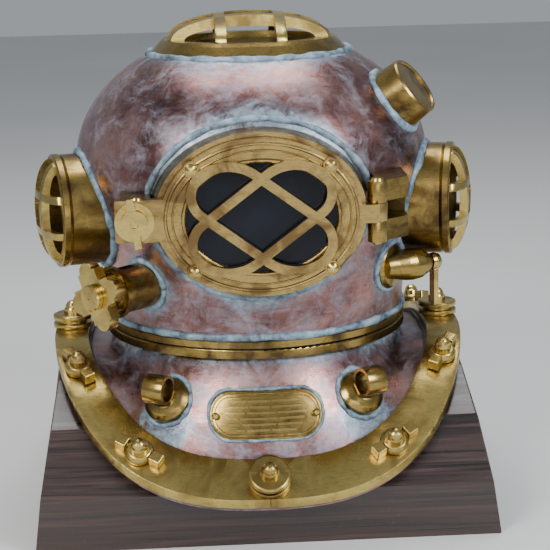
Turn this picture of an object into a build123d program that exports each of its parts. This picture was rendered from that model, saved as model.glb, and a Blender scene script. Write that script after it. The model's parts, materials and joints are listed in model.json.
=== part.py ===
from build123d import *
from math import atan2, cos, degrees, hypot, pi, radians, sin, sqrt
import os

# Diving-helmet ornament on a wooden stave stand.  Millimetres, +Z up, front towards -Y.
# The origin is under the stand, on the axis of the helmet's neck.
os.makedirs("parts", exist_ok=True)

# ---- driving dimensions ------------------------------------------------------------
NECK_Z = 162.0             # lower edge of the neck joint above the table
NECK_R = 147.0             # outside of the neck rings
WAIST_R = 170.0            # widest radius of the bonnet
WAIST_Z = NECK_Z + 165.0   # height of that radius
DOME_RISE = 124.0          # half height of the ellipsoid above the waist
COPPER = 2.5               # thickness of the copper sheet
PLAN_POWER = 2.6           # how square the plan of the breastplate is
BRAIL_INNER = (166.0, 186.0)
BRAIL_OUTER = (198.0, 218.0)
BRAIL_LINE = (182.0, 203.0)  # line of the studs
BRAIL_T = 8.0
GASKET_T = 3.0
SADDLE_FLAT = 28.0         # half width of the flat at the shoulders
SADDLE_R = 165.0           # bend of the saddle from the flat to the slope
SADDLE_ANGLE = 40.0        # slope of the saddle in front and behind
CLEAR = 0.3                # gap between bodies that do not fit each other
FIT = 0.05                 # radial running fit
DOOR_Z = NECK_Z + 139.0
DOOR_SEAT_Y = 178.0        # how far the door seat stands in front of the axis
PORT_Z = NECK_Z + 125.0
PORT_AZIMUTH = 76.0
PORT_RIM = 196.0           # radius of the side ports' rims from the axis
STAND_HALF_BASE = 212.0
STAND_HALF_TOP = 190.0
STAND_DEEP = 190.0
BOARD_T = 18.0


def saddle(y):
    """Height of the brails' top face over the neck joint, and its slope, at y."""
    run = abs(y) - SADDLE_FLAT
    sign = 1.0 if y >= 0 else -1.0
    bend = SADDLE_R * sin(radians(SADDLE_ANGLE))
    if run <= 0:
        return 0.0, 0.0
    if run < bend:
        turn_angle = degrees(atan2(run, sqrt(SADDLE_R ** 2 - run ** 2)))
        return sqrt(SADDLE_R ** 2 - run ** 2) - SADDLE_R, -sign * turn_angle
    drop = SADDLE_R * (1 - cos(radians(SADDLE_ANGLE)))
    return -drop - (run - bend) * sin(radians(SADDLE_ANGLE)) / cos(radians(SADDLE_ANGLE)), \
        -sign * SADDLE_ANGLE


def saddle_band(top, bottom):
    """Sheet that follows the saddle, between two depths under the brails' top face."""
    reach = 235.0
    with BuildSketch(Plane.YZ.offset(-reach)) as section:
        with BuildLine():
            for depth in (top, bottom):
                left = [(-y, NECK_Z + saddle(y)[0] - depth) for y in SADDLE_STATIONS[::-1]]
                right = [(y, NECK_Z + saddle(y)[0] - depth) for y in SADDLE_STATIONS]
                Spline(*left, tangents=[(1, saddle_slope), (1, 0)])
                Line(left[-1], right[0])
                Spline(*right, tangents=[(1, 0), (1, -saddle_slope)])
            edge = NECK_Z + saddle(SADDLE_STATIONS[-1])[0]
            for side in (-1, 1):
                y = side * SADDLE_STATIONS[-1]
                Line((y, edge - top), (y, edge - bottom))
        make_face()
    return extrude(section.sketch, amount=2 * reach)


SADDLE_STATIONS = [SADDLE_FLAT, 55, 80, 105, 130, 150, 235]
saddle_slope = sin(radians(SADDLE_ANGLE)) / cos(radians(SADDLE_ANGLE))


def superellipse(semi, power=PLAN_POWER, steps=40):
    """Points of a squared oval with semi-axes semi."""
    points = []
    for i in range(steps):
        c, s = cos(2 * pi * i / steps), sin(2 * pi * i / steps)
        x = semi[0] * (abs(c) ** (2 / power)) * (1 if c >= 0 else -1)
        y = semi[1] * (abs(s) ** (2 / power)) * (1 if s >= 0 else -1)
        points.append((x, y))
    return points


def plan_prism(semi):
    """Upright prism over a squared oval, tall enough for the whole breastplate."""
    with BuildSketch() as plan:
        with BuildLine():
            Spline(*superellipse(semi), periodic=True)
        make_face()
    return extrude(plan.sketch, amount=NECK_Z + 60.0)


def radial_plane(azimuth, z, r=0.0):
    """Plane facing out from the axis; azimuth 0 is the front, positive towards +X."""
    a = radians(azimuth)
    return Plane(origin=(r * sin(a), -r * cos(a), z), x_dir=(cos(a), sin(a), 0),
                 z_dir=(sin(a), -cos(a), 0))


def turn(place, outline, mode=Mode.ADD):
    """Turn an outline of (radius, distance) points about the normal of place."""
    section_plane = Plane(origin=place.origin, x_dir=place.x_dir, z_dir=-place.y_dir)
    with BuildSketch(section_plane) as section:
        with BuildLine():
            Polyline(*outline, close=True)
        make_face()
    revolve(section.sketch, axis=Axis(place.origin, place.z_dir), mode=mode)


def finish(piece, name):
    """Name a finished piece and write its file."""
    piece.part.label = name
    export_step(piece.part, f"parts/{name}.step")


def grouped(solids, name):
    """Write several equal solids as one named group."""
    group = Compound(label=name, children=solids)
    export_step(group, f"parts/{name}.step")

# ---- stand: a vault of staves on two end boards ------------------------------------
# Corners of the vault's outside, from the front foot over the crown: (y, z)
stand_top = NECK_Z - BRAIL_T - GASKET_T - COPPER - CLEAR
stand_corners = [(-STAND_DEEP, 0), (-STAND_DEEP, 50), (-141, 100), (-88, 131.5), (-28, stand_top)]
stand_corners += [(-y, z) for y, z in reversed(stand_corners)]
stand_centre = (0, 20)      # the joints between the staves point at this place
end_board_x = 178.0


def stave(first, second):
    """One stave between two corners, with slanted ends that follow the stand's taper."""
    shrink = []
    for y, z in (first, second):
        pull = BOARD_T / hypot(y - stand_centre[0], max(z - stand_centre[1], 0))
        shrink.append((y * (1 - pull), z - max(z - stand_centre[1], 0) * pull))
    with BuildSketch(Plane.YZ.offset(-STAND_HALF_BASE)) as section:
        with BuildLine():
            Polyline(first, second, shrink[1], shrink[0], close=True)
        make_face()
    board = extrude(section.sketch, amount=2 * STAND_HALF_BASE)
    with BuildSketch(Plane.XZ.offset(-STAND_DEEP)) as taper:
        with BuildLine():
            Polyline((-STAND_HALF_BASE, 0), (STAND_HALF_BASE, 0), (STAND_HALF_TOP, stand_top),
                     (-STAND_HALF_TOP, stand_top), close=True)
        make_face()
    return board & extrude(taper.sketch, amount=2 * STAND_DEEP)


staves = [stave(first, second) for first, second in zip(stand_corners, stand_corners[1:])]
grouped(staves[:4], "stand_staves_front")
grouped(staves[4:5], "stand_stave_crown")
grouped(staves[5:], "stand_staves_rear")

# Outline of the space under the staves
inner_corners = []
for y, z in stand_corners:
    pull = BOARD_T / hypot(y - stand_centre[0], max(z - stand_centre[1], 0))
    inner_corners.append((y * (1 - pull), z - max(z - stand_centre[1], 0) * pull))

ends = []
for x in (-end_board_x - BOARD_T, end_board_x):
    with BuildPart() as end_board:
        with BuildSketch(Plane.YZ.offset(x)):
            with BuildLine():
                Polyline(*inner_corners, close=True)
            make_face()
        extrude(amount=BOARD_T)
    ends.append(end_board.part)
grouped(ends, "stand_ends")

base_half_y = STAND_DEEP - BOARD_T
with BuildPart() as stand_base:
    with BuildSketch():
        Rectangle(2 * end_board_x, 2 * base_half_y - 4.0)
    extrude(amount=12.0)
finish(stand_base, "stand_base_board")

# ---- breastplate -------------------------------------------------------------------
# Sections of the copper breastplate: (height under the neck joint, half width, half depth)
breast_sections = [(0.0, 141.0, 141.0), (30.0, 150.0, 162.0), (65.0, 160.0, 178.0),
                   (105.0, 168.0, 190.0)]


def breast_body(grow):
    """Solid under the breastplate's copper, grown by a thickness."""
    with BuildPart() as body:
        for drop, a, b in breast_sections:
            with BuildSketch(Plane.XY.offset(NECK_Z - drop)):
                power = 2.0 + (PLAN_POWER - 2.0) * drop / breast_sections[-1][0]
                with BuildLine():
                    Spline(*superellipse((a + grow, b + grow), power), periodic=True)
                make_face()
        loft()
    return body.part


breast_outer = breast_body(0.0)
breast_inner = breast_body(-COPPER)
flange_top = BRAIL_T + GASKET_T
bowl = (breast_outer - breast_inner) - saddle_band(flange_top + COPPER, 200.0)
flange = (saddle_band(flange_top, flange_top + COPPER) & plan_prism((195.0, 215.0))) - breast_inner


def stud_places():
    """Where the twelve studs stand: (x, y), starting in front and going round."""
    quarter = [(115.0, -178.0), (171.0, -100.0)]
    right = [(0.0, -BRAIL_LINE[1])] + quarter + [(BRAIL_LINE[0], 0.0)]
    right += [(x, -y) for x, y in reversed(quarter)] + [(0.0, BRAIL_LINE[1])]
    left = [(-x, y) for x, y in reversed(right[1:-1])]
    return right + left


def stud_plane(x, y, depth=0.0, spin=0.0):
    """Plane on the brails at a stud, depth under their top face, spun about the stud."""
    height, slope = saddle(y)
    a, b = radians(slope), radians(spin)
    up = (0, -sin(a), cos(a))
    return Plane(origin=(x, y - depth * up[1], NECK_Z + height - depth * up[2]),
                 x_dir=(cos(b), sin(b) * cos(a), sin(b) * sin(a)), z_dir=up)


stud_r = 4.0
stud_hole_r = 4.3


def drill_studs():
    """Take the twelve stud holes out of the active part."""
    for x, y in stud_places():
        place = stud_plane(x, y, 20.0)
        turn(place, [(0, -5), (stud_hole_r, -5), (stud_hole_r, 45), (0, 45)], Mode.SUBTRACT)


with BuildPart() as breastplate_shell:
    add(bowl)
    add(flange)
    drill_studs()
finish(breastplate_shell, "breastplate_shell")

# Ring soldered to the neck of the breastplate, with four inward lugs of the quick thread
lug_arc = 40.0
lower_ring_top = NECK_Z + 8.6
lug_r = 134.7
with BuildPart() as breastplate_neck_ring:
    with BuildSketch(Plane.XY.offset(NECK_Z)):
        Circle(NECK_R)
        Circle(139.0, mode=Mode.SUBTRACT)
    extrude(amount=lower_ring_top - NECK_Z)
    fillet(breastplate_neck_ring.edges().group_by(Axis.Z)[-1].sort_by(SortBy.RADIUS)[-1], radius=2.0)
    with BuildSketch(Plane.XY.offset(NECK_Z)) as lugs:
        with PolarLocations(0, 4, start_angle=45):
            with BuildLine():
                CenterArc((0, 0), 139.5, -lug_arc / 2, lug_arc)
                CenterArc((0, 0), lug_r + CLEAR, -lug_arc / 2, lug_arc)
                for angle in (-lug_arc / 2, lug_arc / 2):
                    c, s = cos(radians(angle)), sin(radians(angle))
                    Line(((lug_r + CLEAR) * c, (lug_r + CLEAR) * s), (139.5 * c, 139.5 * s))
            make_face()
    extrude(amount=4.0)
finish(breastplate_neck_ring, "breastplate_neck_ring")

with BuildPart() as neck_gasket:
    with BuildSketch(Plane.XY.offset(lower_ring_top)):
        Circle(NECK_R - 2.5)
        Circle(139.5, mode=Mode.SUBTRACT)
    extrude(amount=0.8)
finish(neck_gasket, "neck_gasket")

# The clamped seam: one gasket and four brail straps
brail_sheet = saddle_band(0.0, BRAIL_T)
brail_ring = (brail_sheet & plan_prism(BRAIL_OUTER)) - plan_prism(BRAIL_INNER)
brail_joint = 0.4
for name, sx, sy in (("brail_front_left", -1, -1), ("brail_front_right", 1, -1),
                     ("brail_back_left", -1, 1), ("brail_back_right", 1, 1)):
    with BuildPart() as brail:
        add(brail_ring)
        with BuildSketch():
            with Locations((sx * (150 + brail_joint / 2), sy * (150 + brail_joint / 2))):
                Rectangle(300, 300)
        extrude(amount=NECK_Z + 60.0, mode=Mode.INTERSECT)
        drill_studs()
    finish(brail, name)

gasket_sheet = saddle_band(BRAIL_T, flange_top)
gasket_outer = [v - 2.0 for v in BRAIL_OUTER]
gasket_inner = [v - 3.0 for v in BRAIL_INNER]
gasket_ring = (gasket_sheet & plan_prism(gasket_outer)) - plan_prism(gasket_inner)
with BuildPart() as brail_gasket:
    add(gasket_ring)
    add(breast_outer, mode=Mode.SUBTRACT)
    drill_studs()
finish(brail_gasket, "brail_gasket")

# ---- fasteners on the brails -------------------------------------------------------
stud_foot = flange_top + COPPER
flanged_nut_h = 13.0
wing_nut_h = 9.0
flanged_at = [0, 3, 6, 9]          # places of the flanged nuts, counted round the studs
flanged_outline = [(stud_hole_r, 0), (19.0, 0), (19.0, 4.5), (14.0, 4.5), (14.0, 8.0),
                   (19.0, 8.0), (19.0, 12.0), (17.0, flanged_nut_h), (stud_hole_r, flanged_nut_h)]
cap_outline = [(0, 0), (7.6, 0), (7.6, 4.5), (6.8, 6.0), (6.2, 8.5), (4.6, 11.0), (2.4, 12.4),
               (0, 12.8)]
studs, flanged_nuts, wing_nuts, stud_caps = [], [], [], []
for index, (x, y) in enumerate(stud_places()):
    flanged = index in flanged_at
    nut_h = flanged_nut_h if flanged else wing_nut_h
    foot = stud_plane(x, y, stud_foot)
    seat = stud_plane(x, y, 0.0)
    with BuildPart() as stud:
        turn(foot, [(0, 0), (stud_r, 0), (stud_r, stud_foot + nut_h), (0, stud_foot + nut_h)])
    studs.append(stud.part)
    with BuildPart() as nut:
        if flanged:
            turn(seat, flanged_outline)
        else:
            turn(seat, [(stud_hole_r, 0), (13.0, 0), (13.0, 5.0), (10.5, wing_nut_h),
                        (stud_hole_r, wing_nut_h)])
            # The wings point along the strap, which runs at this angle in plan
            along = degrees(atan2(abs(x), abs(y))) * (1 if x * y < 0 else -1)
            with BuildSketch(stud_plane(x, y, 0.0, along)):
                with Locations((18.0, 0), (-18.0, 0)):
                    Rectangle(11.0, 11.0)
            extrude(amount=10.5)
    (flanged_nuts if flanged else wing_nuts).append(nut.part)
    with BuildPart() as cap:
        turn(stud_plane(x, y, -nut_h), cap_outline)
        with BuildSketch(stud_plane(x, y, -nut_h)):
            RegularPolygon(radius=8.3, side_count=6)
        extrude(amount=4.5)
    stud_caps.append(cap.part)
grouped(studs, "brail_studs")
grouped(flanged_nuts, "flanged_nuts")
grouped(wing_nuts, "wing_nuts")
grouped(stud_caps, "stud_caps")

# ---- pieces on the front of the breastplate ----------------------------------------
plate_t = 2.2
plate_skin = breast_body(plate_t) - breast_outer
plate_z = NECK_Z - 46.0
with BuildPart() as nameplate:
    with BuildSketch(Plane.XZ.offset(120.0)):
        with Locations((0, plate_z)):
            SlotOverall(102.0, 40.0)
    extrude(amount=90.0)
    add(plate_skin, mode=Mode.INTERSECT)
finish(nameplate, "nameplate")

rivet_x = 46.0
with BuildPart() as nameplate_rivets:
    for x in (-rivet_x, rivet_x):
        place = Plane(origin=(x, -167.0, plate_z), x_dir=(1, 0, 0), z_dir=(0, -1, 0.25))
        turn(place, [(0, -3), (3.2, -3), (3.2, 5.0), (2.2, 6.2), (0, 6.6)])
    add(breast_body(plate_t), mode=Mode.SUBTRACT)
finish(nameplate_rivets, "nameplate_rivets")

eye_outer, eye_inner, eye_long = 13.5, 10.5, 20.0
for name, side in (("padeye_left", -1), ("padeye_right", 1)):
    seat = Plane(origin=(side * 88.0, -141.0, NECK_Z - 38.0), x_dir=(1, side * 0.55, 0),
                 z_dir=(side * 0.36, -0.655, 0.66))
    centre = seat.origin + seat.z_dir * 24.0
    mouth = Plane(origin=centre, x_dir=(0, 0, 1), z_dir=(-side * 0.88, -0.47, 0))
    with BuildPart() as padeye:
        turn(seat, [(0, -8), (21.0, -8), (22.0, 4), (18.0, 8.0), (12.0, 11.5), (0, 12.5)])
        with BuildSketch(mouth.offset(-eye_long / 2)):
            Circle(eye_outer)
        extrude(amount=eye_long)
        with BuildSketch(mouth.offset(-30.0)):
            Circle(eye_inner)
        extrude(amount=60.0, mode=Mode.SUBTRACT)
        add(breast_outer, mode=Mode.SUBTRACT)
    finish(padeye, name)

# ---- bonnet ------------------------------------------------------------------------
ring_bottom = NECK_Z + 9.7
ring_top = NECK_Z + 17.0
top_hole_r = 78.0


def bonnet_body(inset):
    """Solid of revolution inside the bonnet's outside, pulled in by inset."""
    with BuildSketch(Plane.XZ) as section:
        with BuildLine():
            wall = Spline((145.5 - inset, ring_top), (146.5 - inset, NECK_Z + 40),
                          (149.0 - inset, NECK_Z + 65), (156.0 - inset, NECK_Z + 98),
                          (165.5 - inset, NECK_Z + 132), (WAIST_R - inset, WAIST_Z),
                          tangents=[(0, 1), (0, 1)])
            dome = EllipticalCenterArc((0, WAIST_Z), WAIST_R - inset, DOME_RISE - inset,
                                       arc_size=90)
            Line(dome @ 1, (0, ring_top))
            Line((0, ring_top), wall @ 0)
        make_face()
    return revolve(section.sketch, axis=Axis.Z)


bonnet_outer = bonnet_body(0.0)
door_plane = Plane(origin=(0, 0, DOOR_Z), x_dir=(1, 0, 0), z_dir=(0, -1, 0))
door_opening = (70.0, 51.0)
port_bore = 38.0
valve_z = NECK_Z + 64.0
valve_place = radial_plane(-45, valve_z)
valve_bore = 15.0
air_place = radial_plane(148, NECK_Z + 150)
phone_place = radial_plane(-148, NECK_Z + 150)
neck_pipe_bore = 11.0


def bore(place, radius, start, end):
    """Take a round hole along the normal of place out of the active part."""
    turn(place, [(0, start), (radius, start), (radius, end), (0, end)], Mode.SUBTRACT)


with BuildPart() as bonnet_shell:
    add(bonnet_outer)
    add(bonnet_body(COPPER), mode=Mode.SUBTRACT)
    bore(Plane.XY, top_hole_r, WAIST_Z + 20, WAIST_Z + 200)
    for side in (-1, 1):
        bore(radial_plane(side * PORT_AZIMUTH, PORT_Z), port_bore, 120, 200)
    bore(valve_place, valve_bore, 120, 200)
    bore(air_place, neck_pipe_bore, 120, 200)
    bore(phone_place, neck_pipe_bore, 120, 200)
    with BuildSketch(door_plane.offset(120.0)):
        Ellipse(*door_opening)
    extrude(amount=80.0, mode=Mode.SUBTRACT)
finish(bonnet_shell, "bonnet_shell")

# Neck ring of the bonnet, with the skirt and four outward lugs of the quick thread
skirt_r = lug_r
with BuildPart() as bonnet_neck_ring:
    turn(Plane.XY, [(skirt_r - 4.0, NECK_Z - 7), (skirt_r, NECK_Z - 7), (skirt_r, ring_bottom),
                    (NECK_R, ring_bottom), (NECK_R, ring_top - 1.5), (NECK_R - 1.5, ring_top),
                    (skirt_r - 4.0, ring_top)])
    with BuildSketch(Plane.XY.offset(NECK_Z - 6.0)):
        with PolarLocations(0, 4, start_angle=45):
            with BuildLine():
                CenterArc((0, 0), 137.8, -lug_arc / 2, lug_arc)
                CenterArc((0, 0), skirt_r - 1.0, -lug_arc / 2, lug_arc)
                for angle in (-lug_arc / 2, lug_arc / 2):
                    c, s = cos(radians(angle)), sin(radians(angle))
                    Line(((skirt_r - 1.0) * c, (skirt_r - 1.0) * s), (137.8 * c, 137.8 * s))
            make_face()
    extrude(amount=5.0)
finish(bonnet_neck_ring, "bonnet_neck_ring")

# ---- windows -----------------------------------------------------------------------
def grid_guard(place, rim, radius, rise, bar, spacing):
    """Crossed bars, two each way, bent over a dome that stands on the rim at distance rim."""
    section_plane = Plane(origin=place.origin + place.z_dir * rim, x_dir=place.x_dir,
                          z_dir=-place.y_dir)
    domes = []
    for reach, height in ((radius, rise), (radius - 1.1 * bar, rise - 1.1 * bar)):
        with BuildSketch(section_plane) as section:
            with BuildLine():
                arc = EllipticalCenterArc((0, 0), reach, height, arc_size=90)
                Line(arc @ 1, (0, 0))
                Line((0, 0), arc @ 0)
            make_face()
        domes.append(revolve(section.sketch, axis=Axis(section_plane.origin, place.z_dir)))
    with BuildSketch(place.offset(rim)) as bars:
        for offset_x in (-spacing, spacing):
            with Locations((offset_x, 0)):
                Rectangle(bar, 2.2 * radius)
            with Locations((0, offset_x)):
                Rectangle(2.2 * radius, bar)
    return (domes[0] - domes[1]) & extrude(bars.sketch, amount=rise + 5.0)


side_glass_r = 44.0
side_glass_at = 170.0
glasses, retainers = [], []
for name, side in (("left", -1), ("right", 1)):
    place = radial_plane(side * PORT_AZIMUTH, PORT_Z)
    with BuildPart() as frame:
        turn(place, [(port_bore, 140), (53, 140), (53, PORT_RIM - 9), (51.8, PORT_RIM - 8),
                     (53.8, PORT_RIM - 6), (53.8, PORT_RIM - 1), (52.8, PORT_RIM),
                     (side_glass_r + 0.3, PORT_RIM), (side_glass_r + 0.3, side_glass_at),
                     (port_bore, side_glass_at)])
        add(bonnet_outer, mode=Mode.SUBTRACT)
    finish(frame, f"{name}_port_frame")
    with BuildPart() as glass:
        turn(place, [(0, side_glass_at), (side_glass_r, side_glass_at),
                     (side_glass_r, side_glass_at + 6), (0, side_glass_at + 6)])
    glasses.append(glass.part)
    with BuildPart() as retainer:
        turn(place, [(39, side_glass_at + 6), (side_glass_r, side_glass_at + 6),
                     (side_glass_r, side_glass_at + 12), (41, side_glass_at + 12)])
    retainers.append(retainer.part)
    bars = grid_guard(place, PORT_RIM, 50.0, 17.0, 7.0, 17.0)
    with BuildPart() as guard:
        add(bars)
    finish(guard, f"{name}_port_guard")

top_rim = NECK_Z + 280.0
top_glass_r = 74.0
top_glass_z = top_rim - 12.0
with BuildPart() as top_port_frame:
    turn(Plane.XY, [(top_hole_r, top_rim - 18), (96.5, top_rim - 18), (94.7, top_rim - 13),
                    (86.0, top_rim - 3), (83.0, top_rim), (top_hole_r, top_rim)])
    add(bonnet_outer, mode=Mode.SUBTRACT)
    turn(Plane.XY, [(66.0, top_rim - 16), (top_hole_r, top_rim - 16), (top_hole_r, top_rim),
                    (top_glass_r + 0.3, top_rim), (top_glass_r + 0.3, top_glass_z),
                    (66.0, top_glass_z)])
finish(top_port_frame, "top_port_frame")

with BuildPart() as top_port_glass:
    turn(Plane.XY, [(0, top_glass_z), (top_glass_r, top_glass_z), (top_glass_r, top_glass_z + 6),
                    (0, top_glass_z + 6)])
glasses.append(top_port_glass.part)
grouped(glasses, "port_glasses")

with BuildPart() as top_port_retainer:
    turn(Plane.XY, [(67, top_glass_z + 6), (top_glass_r, top_glass_z + 6),
                    (top_glass_r, top_rim), (70, top_rim)])
retainers.append(top_port_retainer.part)
grouped(retainers, "port_retainers")

top_bars = grid_guard(Plane.XY, top_rim, 81.0, 25.0, 10.0, 28.0)
with BuildPart() as top_port_guard:
    add(top_bars)
finish(top_port_guard, "top_port_guard")

# ---- front door and its seat -------------------------------------------------------
hinge_x, hinge_y = 102.0, -177.0
pin_r = 4.0
eye_r = 9.0
eye_half = 8.0
hinge_plane = Plane(origin=(hinge_x, hinge_y, DOOR_Z))
latch_x = -110.0
door_back = DOOR_SEAT_Y + CLEAR
door_ring_back = door_back + 2.7
door_front = door_ring_back + 9.0
door_oval = (88.0, 69.0)
glass_oval = (66.0, 48.0)


def oval_slab(outer, inner, start, end, mode=Mode.ADD):
    """Oval slab or ring parallel to the door, between two distances from the axis."""
    with BuildSketch(door_plane.offset(start)) as face:
        Ellipse(*outer)
        if inner:
            Ellipse(*inner, mode=Mode.SUBTRACT)
    extrude(face.sketch, amount=end - start, mode=mode)


with BuildSketch(door_plane.offset(100.0)) as seat_root:
    Ellipse(101.0, 80.0)
with BuildSketch(door_plane.offset(DOOR_SEAT_Y)) as seat_face:
    Ellipse(93.0, 73.0)
seat_cone = loft([seat_root.sketch.face(), seat_face.sketch.face()])

with BuildPart() as door_seat:
    add(seat_cone)
    oval_slab(door_opening, None, 90.0, 190.0, Mode.SUBTRACT)
    add(bonnet_outer, mode=Mode.SUBTRACT)
    turn(hinge_plane, [(0, -40), (eye_r + 1.5, -40), (eye_r + 1.5, 40), (0, 40)], Mode.SUBTRACT)
finish(door_seat, "door_seat")

with BuildPart() as hinge_bracket:
    for side in (-1, 1):
        near, far = side * (eye_half + CLEAR), side * 27.0
        turn(hinge_plane, [(pin_r, near), (eye_r - 0.5, near), (eye_r - 0.5, far), (pin_r, far)])
        with BuildSketch(hinge_plane.offset(near)) as arm:
            with BuildLine():
                Polyline((0, eye_r - 0.5), (0, 62), (30, 82), (30, 20), (7, 2.5), (5, 7),
                         close=True)
            make_face()
        extrude(amount=far - near)
    with BuildSketch(hinge_plane.offset(-27.0)):
        with BuildLine():
            Polyline((10, 48), (30, 42), (30, 82), (0, 62), close=True)
        make_face()
    extrude(amount=54.0)
    add(bonnet_outer, mode=Mode.SUBTRACT)
    add(seat_cone, mode=Mode.SUBTRACT)
    bore(hinge_plane, pin_r, -40, 40)
finish(hinge_bracket, "hinge_bracket")

with BuildPart() as hinge_pin:
    turn(hinge_plane, [(0, -29), (pin_r, -29), (pin_r, 27), (6.0, 27), (5.0, 29.5), (0, 30)])
finish(hinge_pin, "hinge_pin")

bolt_r = 3.5
latch_plane = Plane(origin=(latch_x, 0, DOOR_Z), x_dir=(1, 0, 0), z_dir=(0, -1, 0))
with BuildPart() as latch_boss:
    with BuildSketch(latch_plane.offset(100.0)):
        Rectangle(27.0, 30.0)
    extrude(amount=DOOR_SEAT_Y + 2.7 - 100.0)
    add(bonnet_outer, mode=Mode.SUBTRACT)
    add(seat_cone, mode=Mode.SUBTRACT)
    bore(latch_plane, bolt_r + 0.5, 165, 190)
finish(latch_boss, "latch_boss")

rivet_spots = [(sx * 60.0, sz * 45.0) for sx in (-1, 1) for sz in (-1, 1)]
with BuildPart() as door_ring:
    with BuildSketch(door_plane.offset(door_ring_back)):
        Ellipse(*door_oval)
        with Locations((latch_x + 8, 0)):
            RectangleRounded(50.0, 37.0, 3.0)
        with Locations((hinge_x - 12.0, 0)):
            Rectangle(24.0, 2 * eye_half)
    extrude(amount=door_front - door_ring_back)
    turn(hinge_plane, [(0, -eye_half), (eye_r, -eye_half), (eye_r, eye_half), (0, eye_half)])
    oval_slab(glass_oval, None, 170, 200, Mode.SUBTRACT)
    oval_slab((73.0, 55.0), None, 170, door_ring_back + 6.0, Mode.SUBTRACT)
    bore(hinge_plane, pin_r + FIT, -20, 20)
    bore(latch_plane, bolt_r + FIT, 170, 200)
    bore(Plane(origin=(latch_x + 2, hinge_y - 9.0, DOOR_Z)), 2.5, 8, 30)
    for x, z in rivet_spots:
        bore(Plane(origin=(x, 0, DOOR_Z + z), x_dir=(1, 0, 0), z_dir=(0, -1, 0)), 2.5, 184, 200)
finish(door_ring, "door_ring")

with BuildPart() as door_gasket:
    oval_slab((86.0, 67.0), (67.0, 49.0), door_back, door_ring_back)
finish(door_gasket, "door_gasket")

with BuildPart() as door_glass:
    oval_slab((72.5, 54.5), None, door_ring_back, door_ring_back + 6.0)
finish(door_glass, "door_glass")

# The guard is two crossed loops: two straight bars each, joined by lobes of two arcs
cross_x, cross_z = 46.7, 34.8
lobe_x, lobe_z = 50.0, 40.5
past_crossing = 6.0
bar_w, bar_t = 8.2, 8.0


def guard_loop(mirror_x):
    """Flat outline of one closed loop of the guard."""
    along = Vector(cross_x * mirror_x, cross_z).normalized()
    top = Vector(0, cross_z) + along * past_crossing
    outer_end = Vector(cross_x * mirror_x, 0) + along * past_crossing
    corner = Vector(lobe_x * mirror_x, lobe_z)
    with BuildSketch() as loop:
        with BuildLine():
            Line(-outer_end, top)
            upper = TangentArc(top, corner, tangent=along)
            TangentArc(corner, outer_end, tangent=upper % 1)
            Line(outer_end, -top)
            lower = TangentArc(-top, -corner, tangent=-along)
            TangentArc(-corner, -outer_end, tangent=lower % 1)
        make_face()
        outer = offset(amount=bar_w / 2, mode=Mode.PRIVATE)
        inner = offset(amount=-bar_w / 2, mode=Mode.PRIVATE)
        add(outer, mode=Mode.REPLACE)
        add(inner, mode=Mode.SUBTRACT)
    return loop.sketch


guard_loops = [guard_loop(1), guard_loop(-1)]
with BuildPart() as door_guard:
    with BuildSketch(door_plane.offset(door_front)):
        add(guard_loops)
        with Locations(*rivet_spots):
            Circle(6.5)
    extrude(amount=bar_t)
    for x, z in rivet_spots:
        bore(Plane(origin=(x, 0, DOOR_Z + z), x_dir=(1, 0, 0), z_dir=(0, -1, 0)), 2.5, 184, 220)
finish(door_guard, "door_guard")

rivets = []
for x, z in rivet_spots:
    with BuildPart() as rivet:
        turn(Plane(origin=(x, 0, DOOR_Z + z), x_dir=(1, 0, 0), z_dir=(0, -1, 0)),
             [(0, 184), (2.5, 184), (2.5, door_front + bar_t), (5.2, door_front + bar_t),
              (4.6, door_front + bar_t + 2.4), (2.6, door_front + bar_t + 3.9),
              (0, door_front + bar_t + 4.4)])
    rivets.append(rivet.part)
grouped(rivets, "door_rivets")

with BuildPart() as latch_pin:
    turn(Plane(origin=(latch_x + 2, hinge_y - 9.0, DOOR_Z)),
         [(0, 9), (2.5, 9), (2.5, 18.5), (6.0, 18.5), (5.0, 20.5), (0, 21.0)])
finish(latch_pin, "latch_pin")

nut_seat = door_front + CLEAR
with BuildPart() as latch_nut:
    turn(latch_plane, [(0, nut_seat), (17.2, nut_seat), (17.2, nut_seat + 3.2),
                       (11.6, nut_seat + 3.2), (11.6, nut_seat + 12.0), (3.5, nut_seat + 12.0),
                       (3.5, nut_seat + 7.0), (0, nut_seat + 7.0)])
    with BuildSketch(latch_plane.offset(nut_seat + 4.0)):
        with PolarLocations(15.5, 2, start_angle=98):
            Rectangle(13.0, 6.0)
    extrude(amount=7.0)
finish(latch_nut, "latch_nut")

with BuildPart() as latch_bolt:
    turn(latch_plane, [(0, 172), (2.6, 172), (bolt_r, 174), (bolt_r, nut_seat), (0, nut_seat)])
finish(latch_bolt, "latch_bolt")

# ---- exhaust valve -----------------------------------------------------------------
body_end = 193.0
disc_seat = 158.0
stem_r = 3.0
with BuildPart() as exhaust_body:
    turn(valve_place, [(17, 138), (21, 138), (21, body_end - 6), (24, body_end - 5),
                       (24, body_end), (17, body_end)])
    turn(valve_place, [(12, disc_seat - 4), (17.5, disc_seat - 4), (17.5, disc_seat),
                       (12, disc_seat)])
    with BuildSketch(Plane(origin=valve_place.origin + valve_place.z_dir * 174.0,
                           x_dir=valve_place.x_dir, z_dir=(0, 0, 1)).offset(-40)):
        Rectangle(9.0, 18.0)
    extrude(amount=80.0, mode=Mode.SUBTRACT)
    add(bonnet_outer, mode=Mode.SUBTRACT)
finish(exhaust_body, "exhaust_body")

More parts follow.
